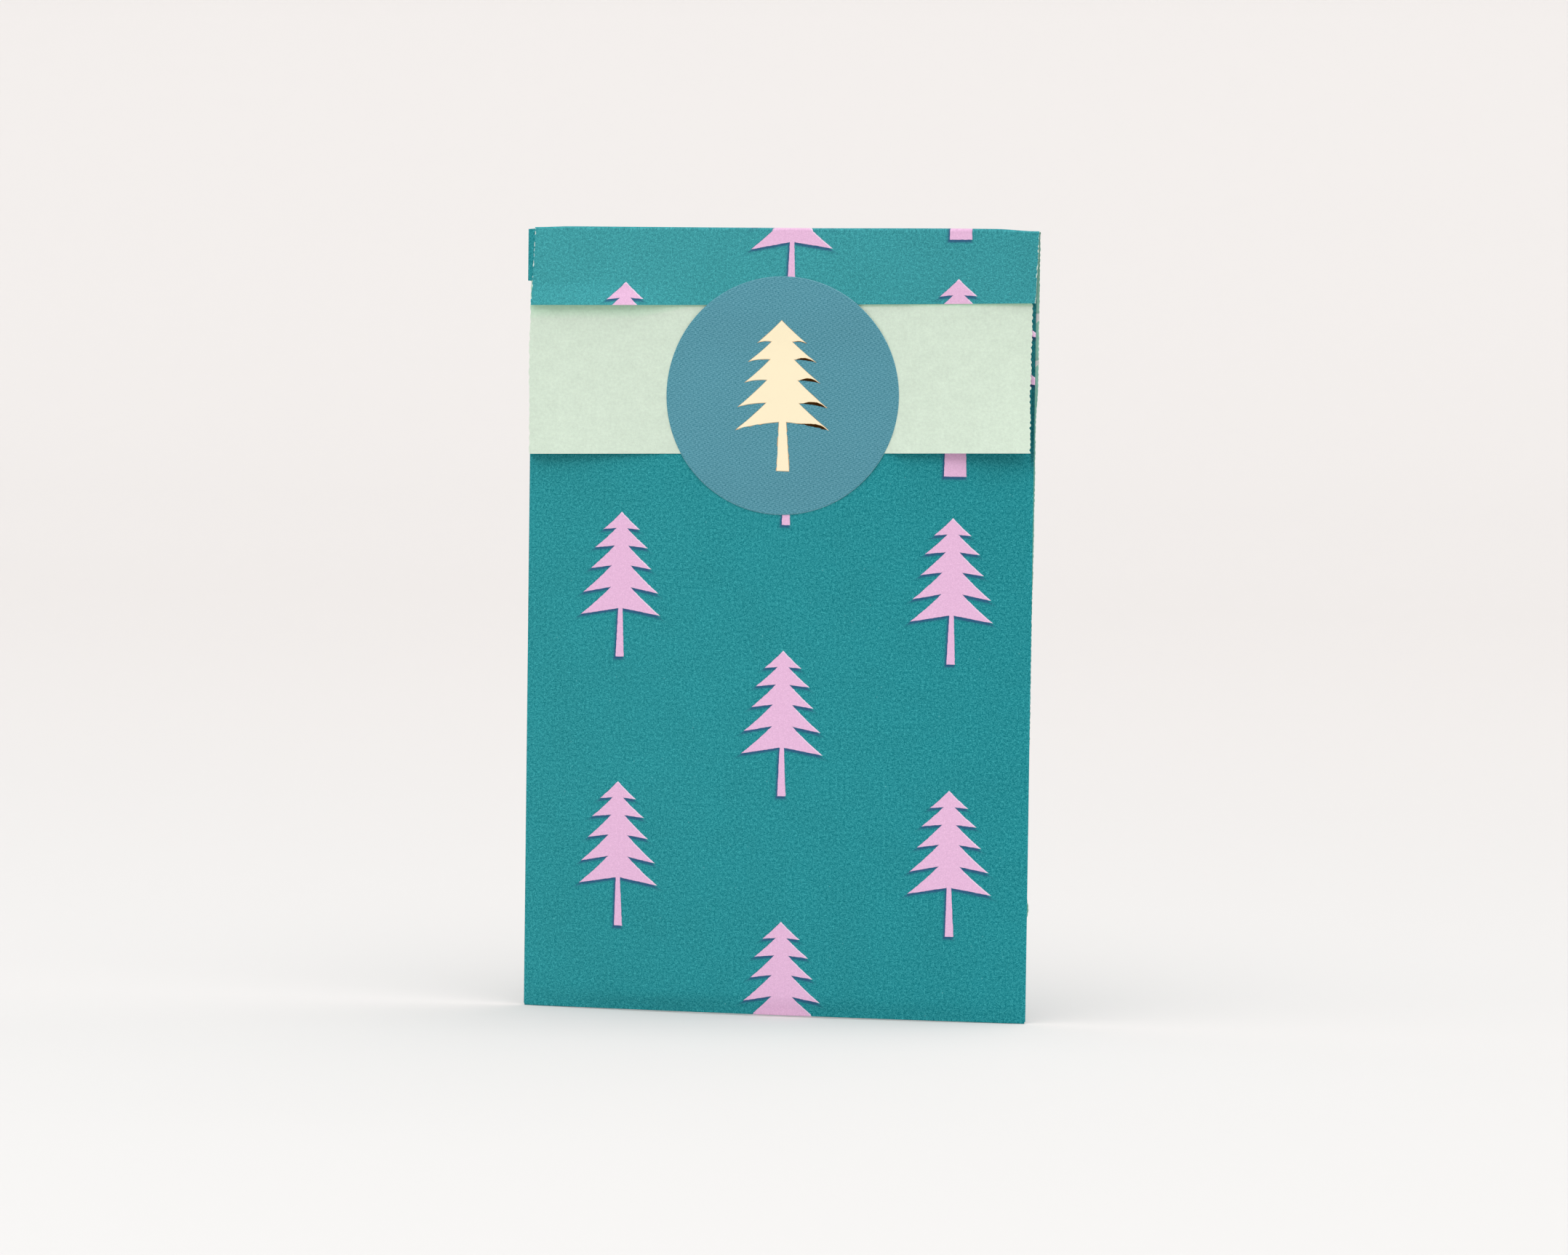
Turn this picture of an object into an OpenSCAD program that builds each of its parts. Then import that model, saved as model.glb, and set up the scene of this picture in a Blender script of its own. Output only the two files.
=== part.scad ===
// Flat paper gift bag, standing on its bottom fold.
// One printed sheet is folded at the bottom and glued along two side flaps. Its open top is folded
// forward and held down by a round seal.
// The front is the -Y side, +X is the right side of the front, and lengths are in millimetres.

/* [Bag] */
// Width of the front between its two side folds
bag_w = 120; // [90:1:160]
// Height from the bottom fold to the top crease
bag_h = 183; // [140:1:260]
// Thickness of the paper
paper_t = 0.15; // [0.1:0.01:0.25]
// How far the middle of the bottom fold stands in front of its two ends
bow = 4; // [3:0.1:6]
// Air between two layers that lie on each other
layer_gap = 0.05; // [0.03:0.01:0.1]

/* [Side seams] */
// Width of each side flap that is folded in behind the front
seam_w = 12; // [10:0.5:18]
// Height of the lower end of the side flaps above the floor
seam_start = 3; // [1:0.5:20]
// How far the side flaps run on past the top crease
seam_end = 12.7; // [6:0.1:15]
// Width of each line of glue
glue_w = 7; // [4:0.5:8]
// Distance from a side fold to its line of glue
glue_inset = 3; // [2.5:0.1:3.5]
// Thickness of the dried glue
glue_t = 0.05; // [0.03:0.01:0.1]

/* [Back sheet] */
// How much the back sheet falls short of each side fold, to the valleys of its toothed edges
back_inset = 0.5; // [0:0.1:0.8]
// How far the back sheet stands to the right at the top crease
back_shift = 0.9; // [0:0.1:1.4]
// How far the back sheet stands to the right at the bottom
back_shift_low = 0.3; // [0:0.1:1.4]
// Length of the outer flap, the back sheet past the top crease
flap_l = 18; // [16:0.5:26]
// How far the outer flap stands to the right
flap_shift = 0.4; // [0:0.1:1.4]

/* [Front sheet past the crease] */
// Length of the lip, the front sheet past the top crease
lip_l = 53; // [40:0.5:62]
// How much the lip falls short of each side fold, to the valleys of its toothed edges
lip_inset = 0.8; // [0:0.1:1.2]
// How far the folded top stands to the left of the bag
lip_shift = 0.8; // [0:0.1:1.2]

/* [Toothed edges] */
// Length of one tooth along the edge
tooth_pitch = 3; // [2:0.5:6]
// Depth of the deepest tooth
tooth_depth = 0.6; // [0.2:0.1:1]

/* [Seal] */
// Diameter of the round seal
seal_d = 55; // [50:0.5:70]
// Distance from the top crease to the top of the seal
seal_drop = 11.2; // [8:0.1:14]
// How far the middle of the seal stands to the right
seal_shift = 0.6; // [0:0.1:3]
// Thickness of the seal's paper
seal_t = 0.12; // [0.08:0.01:0.2]
// Thickness of the adhesive under the seal
tack_t = 0.04; // [0.02:0.01:0.08]
// Length over which the seal steps down at the edge of a layer
step_l = 1.4; // [0.8:0.1:3]

/* [Foil tree] */
// Height of the tree with its trunk
tree_h = 35; // [25:0.5:40]
// Width of the lowest branches
tree_w = 22; // [15:0.5:30]
// Height of the trunk below the lowest branches
trunk_h = 9.5; // [4:0.5:12]
// Width of the foot of the trunk
trunk_w = 3; // [1.5:0.1:5]
// Distance from the top of the seal to the tip of the tree
tree_drop = 10.3; // [8:0.1:14]
// Thickness of the foil
foil_t = 0.02; // [0.01:0.01:0.04]
// Air between the seal's paper and the foil
foil_gap = 0.01; // [0.01:0.01:0.02]

/* [Hidden] */

teal = [0.14, 0.55, 0.57];
mint = [0.83, 0.91, 0.83];
glue_colour = [0.93, 0.92, 0.85];
seal_colour = [0.31, 0.57, 0.63];
gold = [0.84, 0.75, 0.45];

// Number of strips across a sheet between the side flaps, across the seal and across the tree
strips = 6;
seal_strips = 8;
tree_strips = 4;
// Number of rows up a sheet with clean edges
plain_rows = 12;
// Number of steps round a half turn of folded paper
turn_steps = 6;
// Highest valley and lowest tip of a tooth as shares of its depth
valley_share = 0.3;
tip_share = 0.5;
// Angle between the rows of the seal, and the angle of its first row
disc_step = 8;
disc_start = 3;
// Number of branch tiers of the tree, and the tip of each tier as a share of the widest
tiers = 5;
tip_shares = [0.52, 0.70, 0.76, 0.95, 1];
// Width of the tree where a tier grows out from under the next, as a share of that tier's tips
notch_share = 0.4;
// Height over which the tree's outline steps out under a tier, as a share of the tier's height
ledge_share = 0.06;
// Width of the tree's point and of the top of its trunk, as shares of the trunk's foot
point_share = 0.12;
trunk_top_share = 0.6;

// Depth of the flattened bag: front, side flap, glue and back
stack = 3 * paper_t + 2 * layer_gap + glue_t;
// Depth of the back's inner face behind the front's outer face
back_face = stack - paper_t;
// Radius of the middle of the paper where a side flap turns back, and of its outer face
turn_mid_r = (paper_t + layer_gap) / 2;
turn_r = turn_mid_r + paper_t / 2;
// Radius of the middle of the paper at the two edges of the bottom fold, and its height
bottom_mid_r = paper_t / 2 + layer_gap;
bottom_h = 3 * paper_t;
// Radius of the seal
seal_r = seal_d / 2;
// How far the lip's free length starts past the side flaps' ends
lip_start = seam_end + layer_gap;

// Widths of the back sheet and the lip between the valleys of their toothed edges
back_w = bag_w - 2 * back_inset;
lip_w = bag_w - 2 * lip_inset;

// Places of the middle of the bag, which put the origin under the middle of its box
reach_right = max(bag_w / 2, back_w / 2 + back_shift + tooth_depth);
reach_left = max(bag_w / 2 + lip_shift, lip_w / 2 + lip_shift + tooth_depth);
x_mid = (reach_left - reach_right) / 2;
y_mid = (bow - stack) / 2;

// Places across the bag where the strips of every sheet meet. Sheets that lie on each other share
// them, and the edges of the glue and of the side flaps are among them.
seam_places = [glue_inset, glue_inset + glue_w, seam_w];
places = concat(
    [for (inwards = seam_places) inwards - bag_w / 2],
    [for (j = [1:strips - 1]) (bag_w / 2 - seam_w) * (2 * j / strips - 1)],
    [for (k = [len(seam_places) - 1:-1:0]) bag_w / 2 - seam_places[k]]
);

// Depth of the bowed front at x and height z: nothing at the crease, a parabola at the floor
function bend(x, z) = -bow * (1 - z / bag_h) * (1 - pow(2 * x / bag_w, 2));

// Point of the bag at x, at a depth behind the front's outer face, and at height z
function spot(x, depth, z) = [x_mid + x, y_mid + bend(x, z) + depth, z];

// Steady scatter from 0 to 1 for tooth k of an edge
function chance(k, edge) = let (v = sin(137 * k + 71 * edge) * 97) v - floor(v);

// How far a toothed edge stands out at step k: tips on odd steps, valleys on even ones
function tooth(k, edge) = tooth_depth * (k % 2 == 0
    ? valley_share * chance(k, edge)
    : tip_share + (1 - tip_share) * chance(k, edge));

// Solid between two grids of points, near and far, with the same rows and columns.
// Rows go up and columns run so that column direction x row direction points out of near.
module slab(near, far) {
    rows = len(near);
    cols = len(near[0]);
    function a(i, j) = i * cols + j;
    function b(i, j) = (rows + i) * cols + j;
    points = [for (grid = [near, far]) for (line = grid) for (p = line) p];
    near_faces = [for (i = [0:rows - 2]) for (j = [0:cols - 2])
        each [[a(i, j), a(i + 1, j), a(i + 1, j + 1)], [a(i, j), a(i + 1, j + 1), a(i, j + 1)]]];
    far_faces = [for (i = [0:rows - 2]) for (j = [0:cols - 2])
        each [[b(i, j), b(i + 1, j + 1), b(i + 1, j)], [b(i, j), b(i, j + 1), b(i + 1, j + 1)]]];
    low_faces = [for (j = [0:cols - 2])
        each [[a(0, j), a(0, j + 1), b(0, j + 1)], [a(0, j), b(0, j + 1), b(0, j)]]];
    top = rows - 1;
    top_faces = [for (j = [0:cols - 2])
        each [[a(top, j + 1), a(top, j), b(top, j)], [a(top, j + 1), b(top, j), b(top, j + 1)]]];
    first_faces = [for (i = [0:rows - 2])
        each [[a(i + 1, 0), a(i, 0), b(i, 0)], [a(i + 1, 0), b(i, 0), b(i + 1, 0)]]];
    last = cols - 1;
    last_faces = [for (i = [0:rows - 2])
        each [[a(i, last), a(i + 1, last), b(i + 1, last)], [a(i, last), b(i + 1, last), b(i, last)]]];
    polyhedron(points, concat(near_faces, far_faces, low_faces, top_faces, first_faces, last_faces));
}

// Sheet of a given thickness whose front face lies at a depth. Each row is [z, left, right].
module sheet(rows, depth, thickness) {
    near = [for (row = rows) [for (x = concat([row[1]], places, [row[2]])) spot(x, depth, row[0])]];
    slab(near, [for (line = near) [for (p = line) p + [0, thickness, 0]]]);
}

// Rows of a sheet with clean edges between two heights
function clean_rows(low, high, left, right) =
    [for (k = [0:plain_rows]) [low + (high - low) * k / plain_rows, left, right]];

// Rows of a sheet with toothed edges, whose middle goes from mid_low to mid_high
function toothed_rows(low, high, width, mid_low, mid_high, edge) =
    let (steps = 2 * max(2, round((high - low) / tooth_pitch)))
    [for (k = [0:steps]) let (mid = mid_low + (mid_high - mid_low) * k / steps)
        [low + (high - low) * k / steps,
         mid - width / 2 - tooth(k, edge),
         mid + width / 2 + tooth(k, edge + 1)]];

// Centre line of a side flap seen from above, as [inwards from the fold, depth, normal x, normal y,
// share of the fold's shift]: it leaves the sheet's edge, turns half round and runs back behind it
turned_path = concat(
    [for (k = [0:turn_steps]) let (turn = -90 + 180 * k / turn_steps)
        [turn_r - turn_mid_r * cos(turn), turn_r + turn_mid_r * sin(turn), cos(turn), sin(turn), 1]],
    [for (inwards = seam_places) [inwards, turn_r + turn_mid_r, 0, 1, 0]]
);

// Side flap between two heights. layer is 1 where it lies behind the sheet and -1 where it lies
// in front, base is the depth of the sheet's face on the turn's outer side.
module side_flap(side, layer, base, low, high, shift) {
    path = side < 0 ? turned_path : [for (k = [len(turned_path) - 1:-1:0]) turned_path[k]];
    function face(grow) = [for (k = [0:plain_rows]) let (z = low + (high - low) * k / plain_rows)
        [for (p = path) spot(
            side * (bag_w / 2 - p[0] + grow * p[2]) + shift * p[4],
            base + layer * (p[1] + grow * p[3]),
            z)]];
    slab(face(-layer * paper_t / 2), face(layer * paper_t / 2));
}

// Line of glue on a side flap, with the side flap's own rows and edges
module glue_line(side, layer, base, low, high) {
    outer = side * (bag_w / 2 - glue_inset);
    inner = side * (bag_w / 2 - glue_inset - glue_w);
    ends = side < 0 ? [outer, inner] : [inner, outer];
    on_flap = base + layer * (2 * paper_t + layer_gap);
    function face(depth) = [for (k = [0:plain_rows]) let (z = low + (high - low) * k / plain_rows)
        [for (x = ends) spot(x, depth, z)]];
    slab(face(min(on_flap, on_flap + layer * glue_t)), face(max(on_flap, on_flap + layer * glue_t)));
}

// Depth of the paper under the seal, going down from the crease: outer flap, lip, front
function under_seal(drop) =
    let (on_flap = -layer_gap - stack, on_lip = -layer_gap - paper_t,
         off_flap = min(1, max(0, (drop - flap_l) / step_l)),
         off_lip = min(1, max(0, (drop - lip_l) / step_l)))
    on_flap + (on_lip - on_flap) * off_flap - on_lip * off_lip;

// Layer that follows the seal's steps: rows are [drop from the crease, half width], off is how far
// its back face stands in front of the paper
module seal_layer(rows, mid, off, thickness, cols) {
    near = [for (k = [len(rows) - 1:-1:0]) let (row = rows[k])
        [for (j = [0:cols]) spot(mid + row[1] * (2 * j / cols - 1),
            under_seal(row[0]) - off - thickness, bag_h - row[0])]];
    slab(near, [for (line = near) [for (p = line) p + [0, thickness, 0]]]);
}

// Angle round the seal, from its top, of a drop below the crease
function seal_turn(drop) = acos(1 - (drop - seal_drop) / seal_r);

// Rows of the seal at even angles between the places where it steps down
seal_breaks = [disc_start, seal_turn(flap_l), seal_turn(flap_l + step_l),
    seal_turn(lip_l), seal_turn(lip_l + step_l), 180 - disc_start];
disc_turns = concat([disc_start],
    [for (b = [1:len(seal_breaks) - 1])
        let (from = seal_breaks[b - 1], to = seal_breaks[b], steps = ceil((to - from) / disc_step))
        for (k = [1:steps]) from + (to - from) * k / steps]);
disc_rows = [for (turn = disc_turns) [seal_drop + seal_r * (1 - cos(turn)), seal_r * sin(turn)]];

// Half width of the trunk, which widens from the lowest tier to its foot
function trunk_half(drop) =
    trunk_top_w / 2 + (trunk_w - trunk_top_w) / 2 * (1 - (tree_top + tree_h - drop) / trunk_h);

// Rows of the tree from its tip down: each tier widens to its tips and steps in again
tree_top = seal_drop + tree_drop;
tier_h = (tree_h - trunk_h) / tiers;
ledge_h = tier_h * ledge_share;
point_w = trunk_w * point_share;
trunk_top_w = trunk_w * trunk_top_share;
tree_rows = concat(
    [[tree_top, point_w / 2]],
    [for (k = [0:tiers - 1]) let (tips = tree_w / 2 * tip_shares[k], foot = tree_top + tier_h * (k + 1))
        each [[foot, tips], [foot + ledge_h, k < tiers - 1 ? tips * notch_share : trunk_top_w / 2]]],
    [for (drop = [lip_l, lip_l + step_l, tree_top + tree_h]) if (drop <= tree_top + tree_h)
        [drop, trunk_half(drop)]]
);

// Front of the bag between its side folds, from the bottom fold to the crease
module front_panel() {
    color(teal)
        sheet(clean_rows(bottom_h, bag_h, -bag_w / 2 + turn_r, bag_w / 2 - turn_r), 0, paper_t);
}

// Back of the bag with its toothed sides
module back_panel() {
    color(teal)
        sheet(toothed_rows(bottom_h, bag_h, back_w, back_shift_low, back_shift, 1), back_face, paper_t);
}

// Turn of the sheet under the bag, with a narrow flat that stands on the floor
module bottom_fold() {
    front_mid = paper_t / 2;
    back_mid = stack - paper_t / 2;
    low_mid = paper_t / 2 + bottom_mid_r;
    corner = turn_steps / 2;
    profile = concat(
        [[back_mid, bottom_h, 1, 0]],
        [for (k = [0:corner]) let (turn = -90 * k / corner)
            [back_mid - bottom_mid_r * (1 - cos(turn)), low_mid + bottom_mid_r * sin(turn), cos(turn), sin(turn)]],
        [for (k = [0:corner]) let (turn = -90 - 90 * k / corner)
            [front_mid + bottom_mid_r * (1 + cos(turn)), low_mid + bottom_mid_r * sin(turn), cos(turn), sin(turn)]],
        [[front_mid, bottom_h, -1, 0]]
    );
    end_x = bag_w / 2 - turn_r;
    function face(grow) = [for (p = profile) [for (x = concat([-end_x], places, [end_x]))
        spot(x, p[0] + grow * p[2], p[1] + grow * p[3])]];
    color(teal) slab(face(paper_t / 2), face(-paper_t / 2));
}

// Side flap folded in behind the front on the left
module left_side_flap() {
    color(teal) side_flap(-1, 1, 0, seam_start, bag_h, 0);
}

// Side flap folded in behind the front on the right
module right_side_flap() {
    color(teal) side_flap(1, 1, 0, seam_start, bag_h, 0);
}

// Glue between the left side flap and the back
module left_seam_glue() {
    color(glue_colour) glue_line(-1, 1, 0, seam_start, bag_h);
}

// Glue between the right side flap and the back
module right_seam_glue() {
    color(glue_colour) glue_line(1, 1, 0, seam_start, bag_h);
}

// Start of the lip, held to the outer flap by the ends of the side flaps
module lip_neck() {
    edge = bag_w / 2 - turn_r;
    color(mint)
        sheet(clean_rows(bag_h - seam_end, bag_h, -edge - lip_shift, edge - lip_shift),
            -layer_gap - paper_t, paper_t);
}

// Free length of the lip, which bends away from the outer flap to open the mouth
module lip() {
    color(mint)
        sheet(toothed_rows(bag_h - lip_l, bag_h - lip_start, lip_w, -lip_shift, -lip_shift, 3),
            -layer_gap - paper_t, paper_t);
}

// Back sheet folded forward over the crease
module outer_flap() {
    color(teal)
        sheet(toothed_rows(bag_h - flap_l, bag_h, back_w, flap_shift, flap_shift, 5),
            -layer_gap - stack, paper_t);
}

// End of the left side flap past the crease, between the lip's neck and the outer flap
module left_flap_end() {
    color(teal) side_flap(-1, -1, -layer_gap, bag_h - seam_end, bag_h, -lip_shift);
}

// End of the right side flap past the crease
module right_flap_end() {
    color(teal) side_flap(1, -1, -layer_gap, bag_h - seam_end, bag_h, -lip_shift);
}

// Glue between the left side flap's end and the outer flap
module left_end_glue() {
    color(glue_colour) glue_line(-1, -1, -layer_gap, bag_h - seam_end, bag_h);
}

// Glue between the right side flap's end and the outer flap
module right_end_glue() {
    color(glue_colour) glue_line(1, -1, -layer_gap, bag_h - seam_end, bag_h);
}

// Tacky layer that holds the seal to the outer flap, the lip and the front
module seal_adhesive() {
    color(glue_colour) seal_layer(disc_rows, seal_shift, layer_gap / 2, tack_t, seal_strips);
}

// Round paper seal
module seal_label() {
    color(seal_colour) seal_layer(disc_rows, seal_shift, layer_gap / 2 + tack_t, seal_t, seal_strips);
}

// Fir tree stamped on the seal in foil
module seal_foil_tree() {
    color(gold)
        seal_layer(tree_rows, seal_shift, layer_gap / 2 + tack_t + seal_t + foil_gap, foil_t, tree_strips);
}

front_panel();
back_panel();
bottom_fold();
left_side_flap();
right_side_flap();
left_seam_glue();
right_seam_glue();
lip_neck();
outer_flap();
left_flap_end();
right_flap_end();
left_end_glue();
right_end_glue();
lip();
seal_label();
seal_adhesive();
seal_foil_tree();
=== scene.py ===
"""Looks of the flat paper gift bag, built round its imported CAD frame.

Lengths are in millimetres until a mesh or a lamp is made. u runs to the right of the front's middle
and v down from the top crease. s runs along the sheet of paper: it is minus v on the lip and v on
the front, and it goes on round the bottom fold, up the back and over the crease to the outer flap.
"""

import bpy
import numpy as np
from mathutils import Matrix, Vector, geometry


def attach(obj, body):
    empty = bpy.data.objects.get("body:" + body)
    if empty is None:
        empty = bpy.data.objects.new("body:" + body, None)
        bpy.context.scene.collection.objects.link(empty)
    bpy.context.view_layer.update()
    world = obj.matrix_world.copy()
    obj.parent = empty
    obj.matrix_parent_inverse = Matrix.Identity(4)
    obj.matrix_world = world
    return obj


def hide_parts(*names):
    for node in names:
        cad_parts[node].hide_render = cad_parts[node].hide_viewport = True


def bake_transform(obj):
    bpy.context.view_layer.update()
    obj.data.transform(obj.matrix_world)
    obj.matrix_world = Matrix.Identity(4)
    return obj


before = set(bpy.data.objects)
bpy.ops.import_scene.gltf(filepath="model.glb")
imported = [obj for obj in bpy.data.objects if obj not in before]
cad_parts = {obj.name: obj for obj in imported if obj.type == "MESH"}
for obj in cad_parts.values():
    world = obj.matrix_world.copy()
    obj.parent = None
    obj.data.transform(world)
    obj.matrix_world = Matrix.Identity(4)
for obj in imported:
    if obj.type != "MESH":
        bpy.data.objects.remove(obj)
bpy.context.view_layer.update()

bpy.context.scene.view_settings.view_transform = "Standard"

MM = 0.001

# Sizes of the bag, as its CAD source has them
BAG_W = 120.0
BAG_H = 183.0
PAPER = 0.15
BOW = 4.0
GAP = 0.05
SEAM_W = 12.0
SEAM_START = 3.0
SEAM_END = 12.7
GLUE_T = 0.05
GLUE_W = 7.0
GLUE_IN = 3.0
FLAP_L = 18.0
LIP_L = 53.0
LIP_SHIFT = 0.8
SEAL_DROP = 11.2
SEAL_T = 0.12
TACK_T = 0.04
FOIL_T = 0.02
FOIL_GAP = 0.01
STACK = 3 * PAPER + 2 * GAP + GLUE_T
X_MID = -0.1
Y_MID = (BOW - STACK) / 2
TURN_MID_R = (PAPER + GAP) / 2
TURN_R = TURN_MID_R + PAPER / 2
FOLD_EDGE = BAG_W / 2 - TURN_R
# Radius of the seal and its middle's place to the right, a little more than its solid's
SEAL_R = 27.64
SEAL_U = 0.72
# Depth and height of the line that every layer turns about at the crease
FOLD_DEPTH = -GAP / 2
FOLD_Z = BAG_H - STACK - GAP / 2
FOLD_V = BAG_H - FOLD_Z

# Rise of the bottom fold's middle, and the height over which it dies out
ARCH = 0.3
ARCH_Z = 25.0

# Grids: columns across the front, a side flap and its fold, and lengths of a toothed and of a plain row
FRONT_COLS = 49
FLAP_COLS = 9
TURN_COLS = 9
TOOTH_ROW = 0.4
PLAIN_ROW = 1.5
# Angle past which an edge between two faces is sharp
SHARP = 0.7


def smooth(x, low, high):
    """0 below low, 1 above high, and 3t^2 - 2t^3 of the share t of the way between them."""
    t = np.clip((np.asarray(x, float) - low) / (high - low), 0, 1)
    return t * t * (3 - 2 * t)


def bend(x, z):
    """Depth by which the bag bows forward: nothing at the crease, and a parabola across the bag that grows
    evenly down to the floor."""
    return -BOW * np.maximum(0, 1 - z / FOLD_Z) * (1 - (2 * x / BAG_W) ** 2)


def arch(x, z):
    """Height by which the bottom fold stands off the floor between its two corners, on which the bag rests."""
    return ARCH * (1 - (2 * x / BAG_W) ** 2) * np.clip(1 - z / ARCH_Z, 0, 1) ** 2


def fill(*parts):
    """Grid of vectors: the parts, each spread over the whole grid, as the last axis."""
    return np.stack(np.broadcast_arrays(*parts), axis=-1)


def place(x, depth, z):
    """Points at x, at a depth behind the front's outer face, and at height z, with the bag's bow and arch."""
    return fill(X_MID + x, Y_MID + bend(x, z) + depth, z + arch(x, z))


def noise(t, pitch, seed):
    """Even scatter from -1 to 1 that goes smoothly from one step of pitch to the next."""
    t = np.asarray(t, float) / pitch + 50
    values = np.random.default_rng(seed).uniform(-1, 1, 1000)
    low = np.floor(t).astype(int)
    share = smooth(t - low, 0, 1)
    return values[low] * (1 - share) + values[low + 1] * share


def torn(v, pitch, depth, seed):
    """How far a toothed edge stands out at v: round scallops of one pitch, each a little longer or shorter,
    with small torn fibres on them."""
    turn = np.pi * (v / pitch + 0.18 * noise(v, 2.3 * pitch, seed))
    scallop = np.abs(np.sin(turn))
    return depth * (scallop * (0.75 + 0.25 * noise(v, pitch, seed + 1))
                    + 0.22 * noise(v, 0.9, seed + 2) + 0.12 * noise(v, 0.45, seed + 3))


def stand(name, data):
    """New object in the scene for a mesh, a lamp or a camera."""
    made = bpy.data.objects.new(name, data)
    bpy.context.scene.collection.objects.link(made)
    return made


def shell(name, outer, inner, facts, paints, keep=True):
    """Closed sheet between two grids of points, outer and inner, both of rows x columns x 3 in millimetres.
    Each cell that keep marks gets a quad on both grids, and each border of the kept cells gets a wall
    between the grids. facts is a grid of u, s and distance from a toothed edge, and paints are the materials
    of outer, inner and wall."""
    rows, cols = outer.shape[:2]
    keep = np.broadcast_to(keep, (rows - 1, cols - 1))
    index = np.arange(rows * cols).reshape(rows, cols)
    a, b = index[:-1, :-1], index[:-1, 1:]
    c, d = index[1:, 1:], index[1:, :-1]
    far = rows * cols
    front = np.stack([a, b, c, d], axis=-1)[keep]
    padded = np.pad(keep, 1)
    walls = []
    for start, end, beside in ((a, b, padded[:-2, 1:-1]), (b, c, padded[1:-1, 2:]),
                               (c, d, padded[2:, 1:-1]), (d, a, padded[1:-1, :-2])):
        edge = keep & ~beside
        walls.append(np.stack([end, start, start + far, end + far], axis=-1)[edge])
    wall = np.concatenate(walls)
    faces = np.concatenate([front, front[:, ::-1] + far, wall])
    paint = np.repeat([0, 1, 2], [len(front), len(front), len(wall)])
    points = np.concatenate([outer.reshape(-1, 3), inner.reshape(-1, 3)])
    first = points[front]
    normal = np.cross(first[:, 1] - first[:, 0], first[:, 2] - first[:, 0])
    outwards = points[front[:, 0]] - points[front[:, 0] + far]
    if (normal * outwards).sum() < 0:
        faces = faces[:, ::-1]
    return solid(name, points, [faces], paint, sheet_facts(facts).reshape(-1, 3), paints)


def solid(name, points, faces, paint, facts, paints, rounded=True):
    """Object with a mesh of those points in millimetres that its faces use: a front half and a back half with
    the same facts, which are the sheet attribute. faces are arrays of triangles or quads, paint is the
    material number of each face, and rounded shades it smooth."""
    used = np.unique(np.concatenate([part.ravel() for part in faces]))
    packed = [face for part in faces for face in np.searchsorted(used, part).tolist()]
    mesh = bpy.data.meshes.new(name)
    mesh.from_pydata((points[used] * MM).tolist(), [], packed)
    mesh.polygons.foreach_set("material_index", paint.astype(np.int32))
    mesh.polygons.foreach_set("use_smooth", np.full(len(packed), rounded))
    facts = np.tile(facts, (2, 1))[used].astype(np.float32)
    mesh.attributes.new("sheet", "FLOAT_VECTOR", "POINT").data.foreach_set("vector", facts.ravel())
    for item in paints:
        mesh.materials.append(item)
    mesh.update()
    if rounded:
        mesh.set_sharp_from_angle(angle=SHARP)
    return stand(name, mesh)


# -------- materials


def tint(red, green, blue):
    """Linear colour of a shade given in 0 to 255 screen values."""
    c = np.array([red, green, blue]) / 255
    return (*np.where(c <= 0.04045, c / 12.92, ((c + 0.055) / 1.055) ** 2.4), 1)


class Graph:
    """Helper that adds nodes to a node tree and links them."""

    def __init__(self, tree):
        self.tree = tree

    def add(self, kind, links=(), **settings):
        """New node. links are (input name or number, socket or value)."""
        node = self.tree.nodes.new(kind)
        for key, value in settings.items():
            setattr(node, key, value)
        for key, value in links:
            self.feed(node.inputs[key], value)
        return node

    def feed(self, socket, value):
        """Links a socket, or sets a plain value."""
        if isinstance(value, bpy.types.NodeSocket):
            self.tree.links.new(value, socket)
        else:
            socket.default_value = value

    def math(self, operation, *values):
        """Output of a Math node."""
        return self.add("ShaderNodeMath", [*enumerate(values)], operation=operation).outputs[0]

    def scaled(self, value, factor, *extra):
        """Value times a factor, plus an extra if there is one."""
        return self.math("MULTIPLY_ADD" if extra else "MULTIPLY", value, factor, *extra)

    def minus(self, value, less):
        """Value less another."""
        return self.math("SUBTRACT", value, less)

    def vector(self, operation, *values):
        """Output of a Vector Math node."""
        return self.add("ShaderNodeVectorMath", [*enumerate(values)], operation=operation).outputs[0]

    def ramp(self, value, low, high, to_low=0.0, to_high=1.0):
        """Value from low to high becomes to_low to to_high, and is held outside."""
        return self.add("ShaderNodeMapRange", [*enumerate((value, low, high, to_low, to_high))]).outputs[0]

    def mix(self, share, low, high):
        """Colour low where share is 0 and high where it is 1."""
        return self.add("ShaderNodeMix", [(0, share), (6, low), (7, high)], data_type="RGBA").outputs[2]

    def grain(self, where, scale, detail=2.0, rough=0.5, low=0.0, high=1.0):
        """Noise over a place in millimetres. scale is grains in a millimetre, low and high the values at its
        usual extremes."""
        noisy = self.add("ShaderNodeTexNoise",
                         [("Vector", where), ("Scale", scale), ("Detail", detail), ("Roughness", rough)])
        return self.ramp(noisy.outputs[0], 0.3, 0.7, low, high)

    def even(self, value):
        """Vector with a value in all three places."""
        return self.add("ShaderNodeCombineXYZ", [(0, value), (1, value), (2, value)]).outputs[0]

    def shift(self, colour, value, step):
        """Colour plus a value times a step of colour, kept above black."""
        return self.vector("MAXIMUM", self.vector("MULTIPLY_ADD", self.even(value), step, colour), (0.001,) * 3)

    def times(self, colour, value):
        """Colour with each channel times a value."""
        return self.vector("MULTIPLY", colour, self.even(value))


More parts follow.
